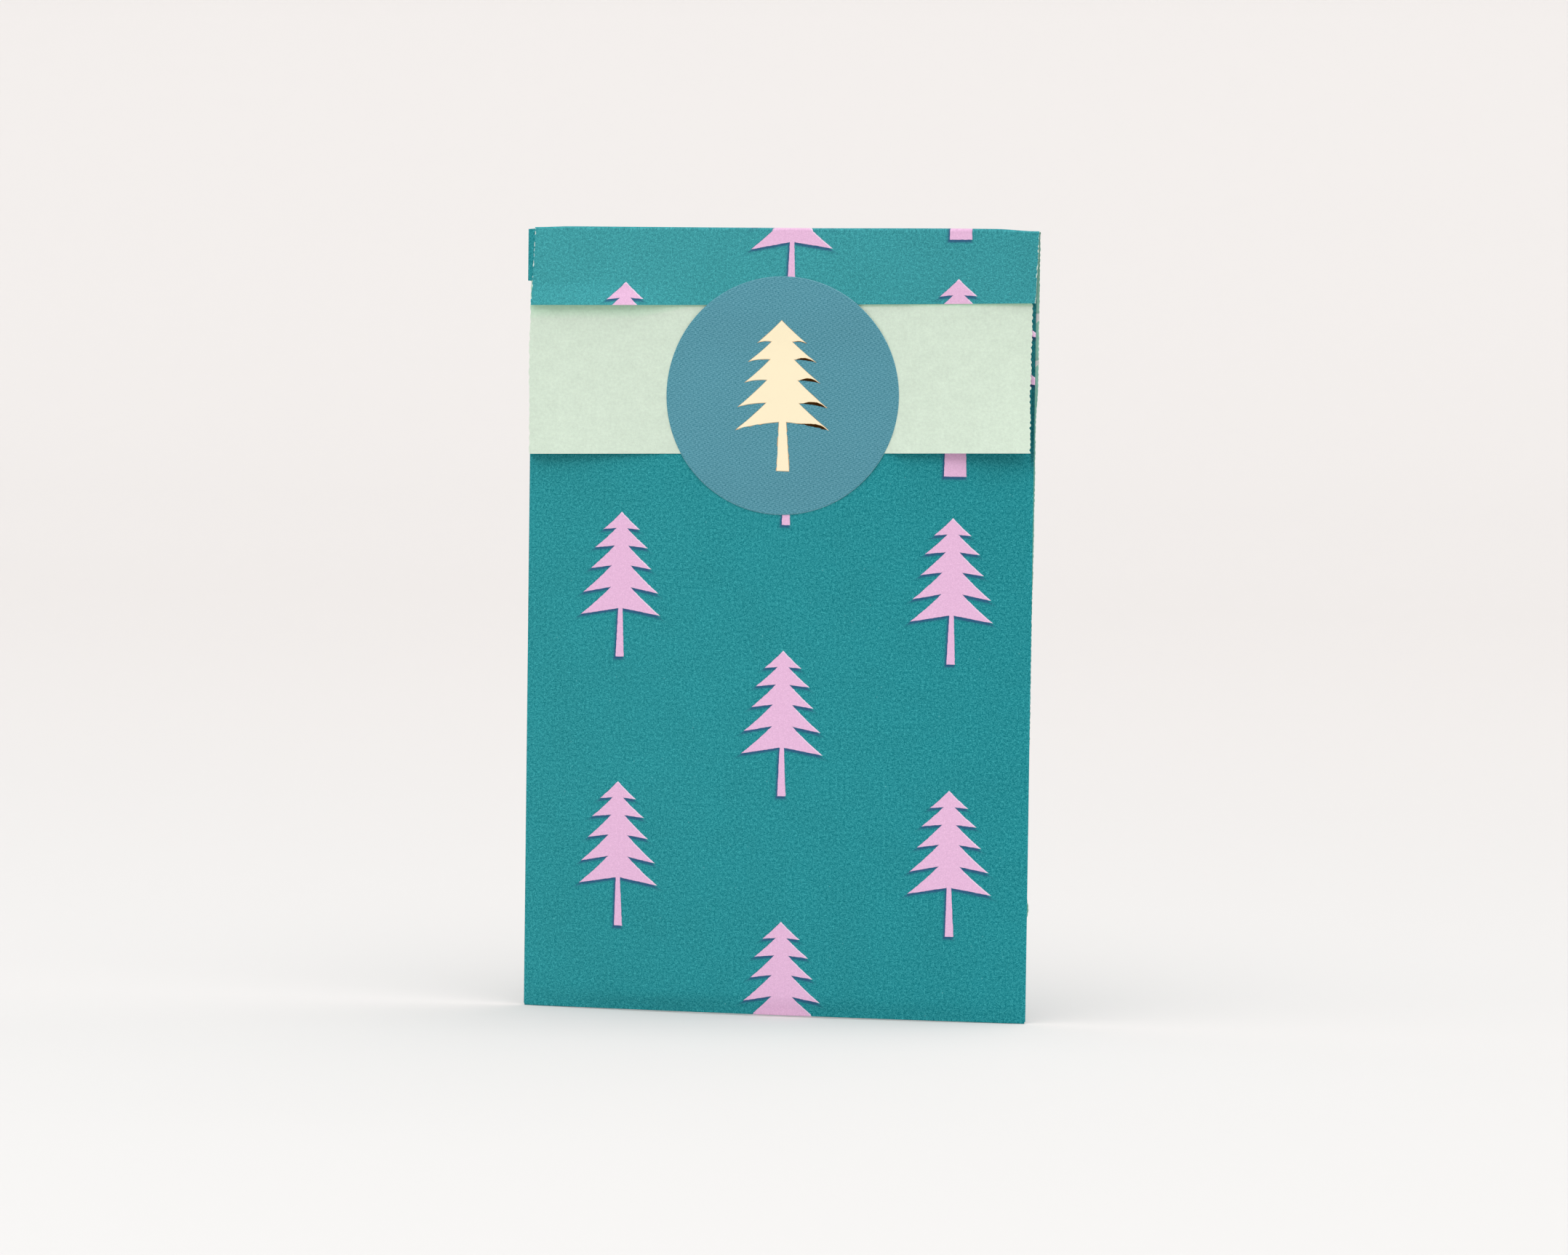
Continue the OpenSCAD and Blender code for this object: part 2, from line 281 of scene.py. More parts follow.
class Paint(Graph):
    """Graph of a new material."""

    def __init__(self, name):
        self.made = bpy.data.materials.new(name)
        self.made.use_nodes = True
        super().__init__(self.made.node_tree)
        self.inputs = self.tree.nodes["Principled BSDF"].inputs

    def relief(self, height, strength, depth):
        """Fine relief: depth is how far a height of 1 stands out in millimetres."""
        bump = self.add("ShaderNodeBump", [("Strength", strength), ("Distance", depth * MM), ("Height", height)])
        self.feed(self.inputs["Normal"], bump.outputs[0])

    def coat(self, colour, rough, gloss=0.5):
        """The material, once it has its colour, roughness and specular level."""
        for key, value in (("Base Color", colour), ("Roughness", rough), ("Specular IOR Level", gloss)):
            self.feed(self.inputs[key], value)
        return self.made


def sheet_place(graph):
    """Place on the sheet, as a vector of u, s and 0, and the sockets u, s and the third fact."""
    fact = graph.add("ShaderNodeAttribute", attribute_name="sheet").outputs["Vector"]
    parts = graph.add("ShaderNodeSeparateXYZ", [(0, fact)]).outputs
    where = graph.add("ShaderNodeCombineXYZ", [(0, parts[0]), (1, parts[1])]).outputs[0]
    return where, parts[0], parts[1], parts[2]


# Fir trees. Each tier is (height where it starts, half width there, height of its tips, half width at its tips),
# with heights down from the tree's point. The trunk is (height, half width) at its top and at its foot.
PRINT_TIERS = ((0.0, 0.0, 4.2, 4.5), (3.9, 1.37, 8.5, 6.5), (8.0, 1.72, 13.4, 7.5), (12.65, 2.41, 19.0, 9.25),
               (17.7, 2.52, 24.2, 9.8))
PRINT_TRUNK = ((22.6, 0.56), (33.9, 1.03))
FOIL_TIERS = ((0.0, 0.0, 5.4, 5.95), (5.07, 2.57, 9.8, 8.2), (9.2, 2.95, 14.6, 9.05), (14.0, 3.76, 20.3, 10.75),
              (19.3, 4.02, 25.6, 11.3))
FOIL_TRUNK = ((23.7, 0.93), (35.05, 1.56))
HOLLOW = 0.12
# How far the lower edges of the foil tree arch up between notch and tip
FOIL_ARCH = 0.22
# Painted dark reflections in the curls of its tiers: how deep each is and how far outward it swells, and the
# share of the way to the tip where they end
FOIL_CURL_REFLECTIONS = ((0.2, 1.0), (0.62, 1.0), (0.76, 1.2), (0.86, 1.5), (0.9, 3.0))
CURL_END = 0.95


def with_next(tiers, trunk):
    """Each tier with the height and half width at which the next one, or the trunk, starts."""
    return [(*tier, *start) for tier, start in zip(tiers, [tier[:2] for tier in tiers[1:]] + [trunk[0]])]


def above_edge(graph, side, down, tip, reach, next_top, next_waist):
    """Height above the line from a tier's tip to the notch under it."""
    slope = (tip - next_top) / (reach - next_waist)
    return graph.minus(graph.scaled(side, slope, next_top - slope * next_waist), down)


def fir_depth(graph, across, down, tiers, trunk):
    """Distance inside a fir tree, negative outside it. Each tier is the lesser of the distances to its hollow
    upper edge and to its straight lower edge, and the tree is the greatest of its tiers and its trunk."""
    side = graph.math("ABSOLUTE", across)
    (trunk_top, trunk_start), (trunk_foot, trunk_end) = trunk
    tree = None
    for top, waist, tip, reach, next_top, next_waist in with_next(tiers, trunk):
        share = graph.scaled(down, 1 / (tip - top), -top / (tip - top))
        curve = graph.scaled(share, graph.scaled(share, HOLLOW, 1 - HOLLOW))
        edge = graph.minus(graph.scaled(curve, reach - waist, waist), side)
        tier = graph.math("MINIMUM", edge, above_edge(graph, side, down, tip, reach, next_top, next_waist))
        tree = tier if tree is None else graph.math("MAXIMUM", tree, tier)
    slope = (trunk_end - trunk_start) / (trunk_foot - trunk_top)
    edge = graph.minus(graph.scaled(down, slope, trunk_start - slope * trunk_top), side)
    foot = graph.math("MINIMUM", graph.minus(trunk_foot, down), graph.minus(down, trunk_top - 2))
    return graph.math("MAXIMUM", tree, graph.math("MINIMUM", edge, foot))


# Repeat of the print: spacing of its columns and of the trees in a column, and the point of one tree
COLUMN = 39.38
PERIOD = 62.97
TREE_U, TREE_S = 2.1, 34.86
# Taller trees, with thicker trunks, stand at longer steps in the column right of the middle, each in a stretch
# of its own without small trees
TALL = 2.15
TALL_TRUNK = ((22.6, 0.95), (33.9, 1.24))
TALL_U, TALL_FOOT, TALL_PERIOD = 41.78, 56.87, 315.2
TALL_COLUMN, TALL_ROOM = 1.0, 81.0
# Distance inside a small tree where a tall one takes its room
TAKEN = -100.0
# Step to the place whose tree throws its shadow here
SHADOW_STEP = 0.28, -0.48
# Drift of the print along the sheet: to the right low on the front, larger and slanted past the bottom fold
DRIFT_START, DRIFT_RUN, DRIFT = 95.0, 75.0, 0.9
DRIFT_BACK = 0.79
BACK_WIDE = 0.0032
BACK_PRINT = 1.0164
BACK_TURN = 0.000095


def print_group():
    """Node group that gives the distance inside the nearest printed tree at a place u, s."""
    tree = bpy.data.node_groups.new("printed_firs", "ShaderNodeTree")
    for name in ("u", "s"):
        tree.interface.new_socket(name, in_out="INPUT", socket_type="NodeSocketFloat")
    tree.interface.new_socket("inside", in_out="OUTPUT", socket_type="NodeSocketFloat")
    graph = Graph(tree)
    u, s = graph.add("NodeGroupInput").outputs[:2]
    column = graph.math("FLOOR", graph.scaled(u, 1 / COLUMN, 0.5 - TREE_U / COLUMN))
    across = graph.minus(u, graph.scaled(column, COLUMN, TREE_U))
    drop = graph.scaled(graph.math("FLOORED_MODULO", column, 2.0), PERIOD / 2)
    down = graph.math("FLOORED_MODULO", graph.minus(graph.minus(s, TREE_S), drop), PERIOD)
    small = fir_depth(graph, across, down, PRINT_TIERS, PRINT_TRUNK)
    tall_start = TALL_FOOT - TALL * PRINT_TRUNK[1][0]
    tall_down = graph.math("FLOORED_MODULO", graph.minus(s, tall_start), TALL_PERIOD)
    tall = fir_depth(graph, graph.scaled(u, 1 / TALL, -TALL_U / TALL),
                     graph.scaled(tall_down, 1 / TALL), PRINT_TIERS, TALL_TRUNK)
    taken = graph.scaled(graph.math("COMPARE", column, TALL_COLUMN, 0.1),
                         graph.math("LESS_THAN", tall_down, TALL_ROOM))
    small = graph.scaled(taken, TAKEN, small)
    inside = graph.math("MAXIMUM", small, graph.scaled(tall, TALL))
    graph.add("NodeGroupOutput", [(0, inside)])
    return tree


# Teal on the left and on the right, low on the sheet and at its end on the outer flap, and its pale specks.
# The right is darker by painted shade, and the end on the outer flap is paler by painted light from above.
TEAL_SHADED_RIGHT = tint(41, 142, 149), tint(34, 138, 146)
TEAL_FLAP_LIT = tint(63, 156, 162), tint(56, 148, 155)
SPECK = tint(150, 222, 222)
# Printed trees, their pale rim, and the navy and the soft shadow behind them
PINK = tint(232, 186, 220)
PINK_RIM = tint(246, 226, 244)
NAVY = tint(46, 68, 120)
SOFT_SHADOW = tint(34, 96, 112)
# Inside of the sheet, its core where it is cut, and dried glue
MINT = tint(216, 232, 214)
CORE = tint(226, 238, 228)
DRIED_GLUE = tint(202, 203, 188)
# Seal, its printed rim and cut side, then the foil, its rim, and the edge and the dark of the painted reflection
# in its curls
SEAL_BLUE = tint(81, 145, 161)
SEAL_RIM = tint(150, 195, 205)
SEAL_CORE = tint(198, 214, 216)
GOLD = tint(255, 240, 205)
GOLD_RIM = tint(176, 132, 84)
CURL_REFLECTION_EDGE = tint(168, 118, 58)
CURL_PAINTED_REFLECTION = tint(56, 33, 10)


def printed_colour(graph, firs, where, u, s):
    """Colour of the print: grainy teal, paler towards the outer flap by painted light and darker to the right by
    painted shade, trees with a navy shadow at the lower left and a soft dark one below, painted shade along
    the crest where the sheet is bent hard, and a painted shadow of the lip on the strip of front beside it."""
    drift = graph.add("ShaderNodeTexNoise", [("Vector", where), ("Scale", 1.1), ("Detail", 2.0)]).outputs[1]
    drift = graph.add("ShaderNodeSeparateXYZ", [(0, drift)]).outputs
    u = graph.scaled(graph.minus(drift[0], 0.5), 0.22, u)
    s = graph.scaled(graph.minus(drift[1], 0.5), 0.22, s)

    def inside(du, ds):
        """Distance inside the tree at a place du, ds away."""
        node = graph.add("ShaderNodeGroup", node_tree=firs)
        graph.feed(node.inputs[0], graph.math("ADD", u, du))
        graph.feed(node.inputs[1], graph.math("ADD", s, ds))
        return node.outputs[0]

    tree, shadow = inside(0.0, 0.0), inside(*SHADOW_STEP)
    cloud = graph.grain(where, 0.09, 3.0, 0.5, 0.97, 1.03)
    coarse = graph.grain(where, 1.5, 2.0, 0.6, -1.0, 1.0)
    fine = graph.grain(where, 3.6, 2.0, 0.7, -1.0, 1.0)
    grain = graph.scaled(fine, 2.0, coarse)
    grain = graph.scaled(graph.scaled(grain, grain), 0.11, grain)
    spot = graph.add("ShaderNodeTexVoronoi", [("Vector", where), ("Scale", 0.3)]).outputs[0]
    high = graph.ramp(s, BAG_H + 10, 2 * BAG_H)
    # Painted shade darkens the teal to the right, and painted light makes it paler towards the outer flap
    teal = graph.mix(graph.ramp(u, -58, 58), *(graph.mix(high, low, end) for low, end in zip(TEAL_SHADED_RIGHT, TEAL_FLAP_LIT)))
    teal = graph.shift(graph.times(teal, cloud), grain, (0.013, 0.06, 0.062))
    teal = graph.mix(graph.ramp(spot, 0.045, 0.01, 0.0, 0.5), teal, SPECK)
    teal = graph.mix(graph.ramp(shadow, -0.8, 0.0, 0.0, 0.35), teal, SOFT_SHADOW)
    teal = graph.mix(graph.ramp(shadow, -0.28, 0.14, 0.0, 0.7), teal, NAVY)
    lilac = graph.mix(graph.ramp(shadow, -0.34, -0.48, 0.0, 0.6), PINK, PINK_RIM)
    lilac = graph.shift(lilac, grain, (0.035, 0.03, 0.033))
    # Painted shade: the colour is darkened in a thin band along the crest of the crease
    past = graph.minus(s, graph.scaled(u, BAG_H * BACK_TURN, BAG_H * (1 + BACK_PRINT)))
    # Painted shadow of the lip on the narrow strip of front between the lip's right edge and the right fold
    narrow = graph.scaled(graph.ramp(u, 58.9, 59.5), graph.ramp(s, 52.0, 56.0, 1.0, 0.0))
    teal = graph.times(teal, graph.ramp(narrow, 0.0, 1.0, 1.0, 0.5))
    colour = graph.mix(graph.ramp(tree, 0.0, 0.1), teal, lilac)
    return graph.times(colour, graph.ramp(graph.math("ABSOLUTE", past), 0.2, 0.8, 0.79, 1.0))


def paper_relief(graph, where):
    """Fine tooth of uncoated paper: fibres finer than the print's grain, and slow unevenness."""
    fine = graph.grain(where, 3.2, 3.0, 0.6)
    slow = graph.grain(where, 0.35, 2.0, 0.5)
    graph.relief(graph.scaled(slow, 1.5, fine), 0.6, 0.02)


def printed_paper(firs):
    """Printed face of the sheet, with pale torn fibres along its toothed edges."""
    graph = Paint("printed_paper")
    where, u, s, edge = sheet_place(graph)
    colour = printed_colour(graph, firs, where, u, s)
    tear = graph.grain(where, 0.75, 2.0, 0.6, -0.35, 0.3)
    colour = graph.mix(graph.ramp(graph.minus(edge, tear), 0.06, -0.04, 0.0, 0.85), colour, CORE)
    paper_relief(graph, where)
    return graph.coat(colour, 0.62, 0.1)


def inside_paper(name, firs, through, tone_and_painted_shade):
    """Pale mint inside of the sheet: cloudy fibres, a painted greenish shade just below the outer flap's edge,
    a share of the print showing through, and a tone of its own, which on the back's inside is a painted shade."""
    graph = Paint(name)
    where, u, s = sheet_place(graph)[:3]
    cloud = graph.grain(where, 0.32, 4.0, 0.6, 0.96 * tone_and_painted_shade, 1.03 * tone_and_painted_shade)
    fibre = graph.grain(where, 1.4, 4.0, 0.75, 0.925, 1.075)
    colour = graph.times(MINT[:3], graph.scaled(cloud, fibre))
    # Painted shade with a green tint in a band just below the outer flap's edge, widest on the left
    down = graph.minus(graph.scaled(u, 0.014, 0.32 - FLAP_L), s)
    near = graph.math("DIVIDE", down, graph.ramp(u, -34, -22, 3.2, 0.7))
    colour = graph.shift(colour, graph.ramp(near, 0.0, 1.0, 1.0, 0.0), (-0.1, 0.05, -0.04))
    if through:
        colour = graph.mix(through, colour, printed_colour(graph, firs, where, u, s))
    paper_relief(graph, where)
    return graph.coat(colour, 0.75, 0.25)


def cut_paper():
    """Cut or torn edge of the sheet, where its pale core shows with short fibres."""
    graph = Paint("cut_edge")
    where = sheet_place(graph)[0]
    return graph.coat(graph.times(CORE[:3], graph.grain(where, 2.5, 3.0, 0.6, 0.85, 1.05)), 0.9, 0.2)


# Screens of the seal's raster: turns in a millimetre across and down, and how strong each is
SEAL_SCREENS = ((0.717, 2.131, 1.0), (0.809, 0.912, 0.45), (0.913, -0.811, 0.38))


def seal_paper():
    """Teal-blue seal printed with a fine raster: rows that rise to the right, crossed by two weaker screens,
    with a pale cut rim."""
    graph = Paint("seal_paper")
    where, u, s, edge = sheet_place(graph)
    raster = None
    for across, down, share in SEAL_SCREENS:
        turns = graph.scaled(u, across, graph.scaled(s, down))
        wave = graph.scaled(graph.math("SINE", graph.scaled(turns, 2 * np.pi)), share)
        raster = wave if raster is None else graph.math("ADD", raster, wave)
    rough = graph.grain(where, 3.0, 2.0, 0.7, -1.0, 1.0)
    cloud = graph.grain(where, 0.07, 2.0, 0.5, 0.98, 1.02)
    # Painted shade: the seal is lighter at its top left and darker towards its lower right
    painted_seal_shade = graph.scaled(u, -0.0006, graph.scaled(s, -0.0009, 1.03))
    colour = graph.times(SEAL_BLUE[:3], graph.scaled(cloud, painted_seal_shade))
    colour = graph.shift(colour, graph.scaled(rough, 2.7, raster), (0.018, 0.032, 0.038))
    colour = graph.mix(graph.ramp(edge, 0.1, 0.02, 0.0, 0.35), colour, SEAL_RIM)
    graph.relief(raster, 0.4, 0.015)
    return graph.coat(colour, 0.5, 0.3)


def seal_side():
    """Cut side of the seal's paper."""
    graph = Paint("seal_side")
    where = sheet_place(graph)[0]
    colour = graph.times(SEAL_CORE[:3], graph.grain(where, 2.0, 2.0, 0.5, 0.9, 1.05))
    return graph.coat(colour, 0.85)


def tack():
    """Adhesive under the seal and glue in the seams: a milky film with faint streaks."""
    graph = Paint("dried_glue")
    place_on = graph.add("ShaderNodeTexCoord").outputs["Object"]
    where = graph.add("ShaderNodeMapping", [(0, place_on), ("Scale", (900.0, 900.0, 250.0))]).outputs[0]
    streak = graph.grain(where, 1.0, 3.0, 0.6, 0.93, 1.04)
    colour = graph.times(DRIED_GLUE[:3], streak)
    return graph.coat(colour, graph.ramp(streak, 0.93, 1.04, 0.28, 0.42))


def gold_foil():
    """Gold foil: an even bright mirror with a thin brown rim, and a painted dark reflection in curled lips along
    the lower edges on the right."""
    graph = Paint("gold_foil")
    where, across, down = sheet_place(graph)[:3]
    wander = graph.grain(where, 1.3, 3.0, 0.6, -1.0, 1.0)
    side = graph.math("ABSOLUTE", across)
    rim = graph.ramp(fir_depth(graph, across, down, FOIL_TIERS, FOIL_TRUNK), 0.14, 0.05, 0.0, 0.75)
    painted_reflection = None
    tiers = with_next(FOIL_TIERS, FOIL_TRUNK)
    for (*_, tip, reach, next_top, next_waist), (depth, outward) in zip(tiers, FOIL_CURL_REFLECTIONS):
        fullest = CURL_END * outward / (outward + 1)
        size = 0.9 * depth / (fullest ** outward * (CURL_END - fullest))
        low = above_edge(graph, side, down, tip, reach, next_top, next_waist)
        share = graph.scaled(side, 1 / (reach - next_waist), -next_waist / (reach - next_waist))
        arched = graph.scaled(share, graph.minus(1.0, share))
        low = graph.scaled(arched, -4 * FOIL_ARCH, low)
        above = graph.math("GREATER_THAN", low, -0.2)
        line = graph.scaled(graph.ramp(low, 0.17, 0.06, 0.0, 0.7), above)
        line = graph.scaled(line, graph.math("GREATER_THAN", share, 0.0))
        rim = graph.math("MAXIMUM", rim, line)
        swell = graph.math("POWER", graph.math("MAXIMUM", share, 0.0), outward)
        swell = graph.scaled(swell, graph.minus(CURL_END, share))
        width = graph.scaled(graph.math("MAXIMUM", swell, 0.0), size)
        width = graph.scaled(wander, 0.05, width)
        reflection_band = graph.scaled(graph.ramp(graph.minus(low, width), 0.0, -0.14), above)
        reflection_band = graph.scaled(reflection_band, graph.math("GREATER_THAN", share, 0.06))
        painted_reflection = reflection_band if painted_reflection is None else graph.math("MAXIMUM", painted_reflection, reflection_band)
    # Painted reflection: dark brown wedges along the lower edges of the tiers on the right
    right = graph.scaled(painted_reflection, graph.math("GREATER_THAN", across, 0.0))
    colour = graph.times(GOLD[:3], graph.grain(where, 0.12, 2.0, 0.5, 0.992, 1.006))
    colour = graph.mix(rim, colour, GOLD_RIM)
    colour = graph.mix(graph.ramp(right, 0.0, 0.3), colour, CURL_REFLECTION_EDGE)
    colour = graph.mix(graph.ramp(right, 0.3, 0.8), colour, CURL_PAINTED_REFLECTION)
    graph.feed(graph.inputs["Metallic"], 1.0)
    return graph.coat(colour, 0.22)


firs = print_group()
PRINTED = printed_paper(firs)
INSIDE = inside_paper("inside_paper", firs, 0.0, 0.955)
# The back's inside is darkened to 0.62 by painted shade; the lip's 0.955 is its own tone
BACK_INSIDE_SHADED = inside_paper("back_inside_paper_shaded", firs, 0.4, 0.62)
CUT = cut_paper()
SEAL_FACE = seal_paper()
SEAL_SIDE = seal_side()
GLUE = tack()
FOIL = gold_foil()

# -------- sheet of paper


def section():
    """Front with its side flaps seen from above, from the inner edge of the left flap round its fold and
    across: columns of x, depth, normal x, normal depth and u."""
    inwards = np.linspace(SEAM_W, TURN_R, FLAP_COLS)[:-1]
    flat = np.ones_like(inwards)
    flap = np.stack([inwards - BAG_W / 2, flat * (TURN_R + TURN_MID_R), 0 * flat, flat, -BAG_W / 2 - inwards])
    turn = np.linspace(np.pi / 2, -np.pi / 2, TURN_COLS)
    fold = np.stack([TURN_R - BAG_W / 2 - TURN_MID_R * np.cos(turn), TURN_R + TURN_MID_R * np.sin(turn),
                     -np.cos(turn), np.sin(turn), -BAG_W / 2 - TURN_R * np.sin(turn)])
    left = np.concatenate([flap, fold], axis=1)
    right = left[:, ::-1] * np.array([[-1], [1], [-1], [1], [-1]])
    x = np.linspace(-FOLD_EDGE, FOLD_EDGE, FRONT_COLS)[1:-1]
    front = np.stack([x, x * 0 + PAPER / 2, x * 0, x * 0 - 1, x])
    return np.concatenate([left, front, right], axis=1)


SECTION = section()
SIDE_COLS = FLAP_COLS - 1 + TURN_COLS - 1
# Columns of the front between its folds, and the share of the way across of each
FRONT = slice(SIDE_COLS, SECTION.shape[1] - SIDE_COLS)
ACROSS = np.linspace(0, 1, FRONT_COLS)
# Distance from a toothed edge where there is none near
NO_EDGE = 9.0
# Direction from the front of the bag to its back
BACKWARD = np.array([0, 1, 0])
# Toothed edges: pitch and depth of their scallops
BACK_TEETH = 1.2, 0.18
FLAP_TEETH = 1.6, 0.13
LIP_TEETH_LEFT = 2.2, 0.24
LIP_TEETH_RIGHT = 1.3, 0.42


def back_edges(v):
    """Left and right edge of the back sheet at v: it stands further to the right near the crease, and both
    edges are toothed."""
    right = 60.62 - 0.45 * smooth(v, 35, 45) - 0.25 * smooth(v, 60, 100) - 0.25 * smooth(v, 105, 140)
    right = right + 0.5 * np.exp(-((v - 156.5) / 2.2) ** 2) + torn(v, *BACK_TEETH, 11)
    left = -59.3 - 0.3 * v / BAG_H - torn(v, *BACK_TEETH, 21)
    return left, right


def flap_edges(v):
    """Left and right edge of the outer flap at v: it slants to the left as it goes down."""
    return -59.0 - 0.047 * v - torn(v, *FLAP_TEETH, 31), 60.6 - 0.036 * v + torn(v, *FLAP_TEETH, 41)


def lip_edges(v):
    """Left and right edge of the lip at v: nearly upright, and toothed."""
    left = -59.95 - 0.25 * np.exp(-((v - 29) / 8) ** 2) + 0.3 * smooth(v, 38, 53) - torn(v, *LIP_TEETH_LEFT, 51)
    return left, 59.0 + 0.5 * smooth(v, 38, 53) + torn(v, *LIP_TEETH_RIGHT, 61)


def pillow(x, z):
    """How far the front swells in front of the back between the glued seams: it rises just above the bottom
    fold, most in its left half, and dies out towards the lip."""
    full = 0.72 * np.clip(1 - (x / 59.5) ** 2, 0, 1) ** 0.9 + 0.5 * np.exp(-((x + 30) / 14) ** 2)
    return full * smooth(z, 0.2, 3.8) * (1 - smooth(z, 30, 122))


def flap_lift(x, v):
    """How far the outer flap stands off the lip towards its lower edge: well off on the left, and settled
    onto the lip on the right."""
    left = 1.1 * smooth(x, -21, -39) * (1 - 0.5 * smooth(x, -54, -60))
    right = 0.55 * smooth(x, 50, 60) - 0.27 * smooth(x, 29, 34) * (1 - smooth(x, 44, 50))
    return (left + right) * smooth(v, 12.8, 19.5)


def lip_lift(x, v):
    """How far the lip stands off the front towards its lower edge: held down by the seal, most in the lower
    left and lower right."""
    left = 2.1 * np.clip((-x - 27.5) / 27, 0, 1) * (1 - 0.4 * smooth(x, -55, -60.5))
    beyond = np.hypot(x - SEAL_U, v - SEAL_DROP - SEAL_R) - SEAL_R
    right = 1.45 * smooth(beyond, 0.3, 5) * (x > 0) + 2.3 * smooth(x, 32, 62) ** 1.3
    return (left + right) * np.clip((v - 19) / (LIP_L - 19), 0, 1) ** 1.7


def flap_end(x):
    """Place down from the crease of the outer flap's lower edge, which rises to the right."""
    return FLAP_L - 0.32 - 0.014 * x - 0.00004 * x ** 2


def lip_end(x):
    """Place down from the crease of the lip's lower edge, which rises to the right."""
    return LIP_L - 0.85 - 0.0172 * x


def sheet_facts(grid):
    """Attribute of a grid of u, s and distance from a toothed edge: the same with the drift of the print."""
    u, s, edge = np.moveaxis(grid, -1, 0)
    low = np.clip((s - DRIFT_START) / DRIFT_RUN, 0, (BAG_H - DRIFT_START) / DRIFT_RUN)
    behind = np.maximum(s - BAG_H, 0)
    across = u - DRIFT * low ** 2 + (DRIFT_BACK - BACK_WIDE * u) * behind / BAG_H
    along = np.where(s > BAG_H, BAG_H + behind * (BACK_PRINT + BACK_TURN * u), s)
    return fill(across, along, edge)


def faced(mid, normal, *facts):
    """Outer points, inner points and facts of paper with a middle surface and its outward normal."""
    return mid + normal * PAPER / 2, mid - normal * PAPER / 2, fill(*facts)


def between(left, right):
    """Columns spread evenly from a left to a right edge, and the distance of each from the nearer edge."""
    x = left + (right - left) * ACROSS
    return x, np.minimum(x - left, right - x)


def joined(name, wide, *narrow, paints):
    """Sheet of one stretch as wide as the section and more that only span the front. Each stretch is grids of
    its outer points, its inner points and its facts."""
    grids = []
    for whole, *parts in zip(wide, *narrow):
        rows = [whole]
        for part in parts:
            rows.append(np.zeros((len(part), *whole.shape[1:])))
            rows[-1][:, FRONT] = part
        grids.append(np.concatenate(rows))
    keep = np.zeros((len(grids[0]) - 1, SECTION.shape[1] - 1), bool)
    keep[:len(wide[0]) - 1] = True
    keep[:, FRONT.start:FRONT.stop - 1] = True
    return shell(name, *grids, paints, keep)


def bag_sheet():
    """Front with its side flaps, bottom fold and back as one sheet, whose rows go down the front, round the
    fold and up the back. The lower ends of the flaps are cut at a slant."""
    x0, d0, nx, nd, u0 = SECTION
    low = 3 * PAPER
    z = np.linspace(FOLD_Z, low, round((FOLD_Z - low) / PLAIN_ROW) + 1)[:, None]
    inwards = np.where(d0 > PAPER, BAG_W / 2 - np.abs(x0), 0)
    cut = low + (SEAM_START - low) * smooth(inwards, TURN_R, 3)
    zs = cut + (z - low) / (FOLD_Z - low) * (FOLD_Z - cut)
    swell = np.where(np.abs(d0 - PAPER / 2) < 1e-6, pillow(x0, zs), 0)
    mid = place(x0, d0 - swell, zs)
    front = faced(mid, np.stack([nx, nd, 0 * nx], axis=-1), u0, BAG_H - zs, NO_EDGE)

    r = PAPER / 2 + GAP
    corner = np.linspace(0, np.pi / 2, 5)[:, None]
    near, far = PAPER / 2, STACK - PAPER / 2
    depth = np.concatenate([near + r - r * np.cos(corner), far - r + r * np.sin(corner)])
    height = np.concatenate([near + r - r * np.sin(corner), near + r - r * np.cos(corner)])
    out_d = np.concatenate([-np.cos(corner), np.sin(corner)])
    out_z = np.concatenate([-np.sin(corner), -np.cos(corner)])
    share = np.linspace(0, 1, len(depth))[:, None]
    x = x0[FRONT] + share * (between(*back_edges(BAG_H - low))[0] - x0[FRONT])
    fold = faced(place(x, depth, height), fill(0 * x, out_d, out_z), x, BAG_H - low + 2 * low * share, NO_EDGE)

    z = np.linspace(low, FOLD_Z, round((FOLD_Z - low) / TOOTH_ROW) + 1)[:, None]
    x, edge = between(*back_edges(BAG_H - z))
    back = faced(place(x, STACK - PAPER / 2, z), BACKWARD, x, BAG_H + z, edge)
    made = joined("bag_sheet", front, fold, back, paints=[PRINTED, BACK_INSIDE_SHADED, CUT])
    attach(made, "bag")
    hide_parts("front_panel", "back_panel", "bottom_fold", "left_side_flap", "right_side_flap")


def crown(x):
    """How far the crease stands above its even round: sprung up along its length, and pressed down at both
    corners."""
    return -0.15 + (0.27 + 0.2 * smooth(x, 0, 40)) * smooth(59.5 - np.abs(x), 0, 9)


def lean(x, share):
    """How far the folded sheet has moved to the left at a share of the way from the crease to the neck's end:
    at once at its sides, and half of it evenly in between."""
    return LIP_SHIFT * (1 - 0.5 * (1 - share) * (1 - smooth(np.abs(x), 40, 57)))


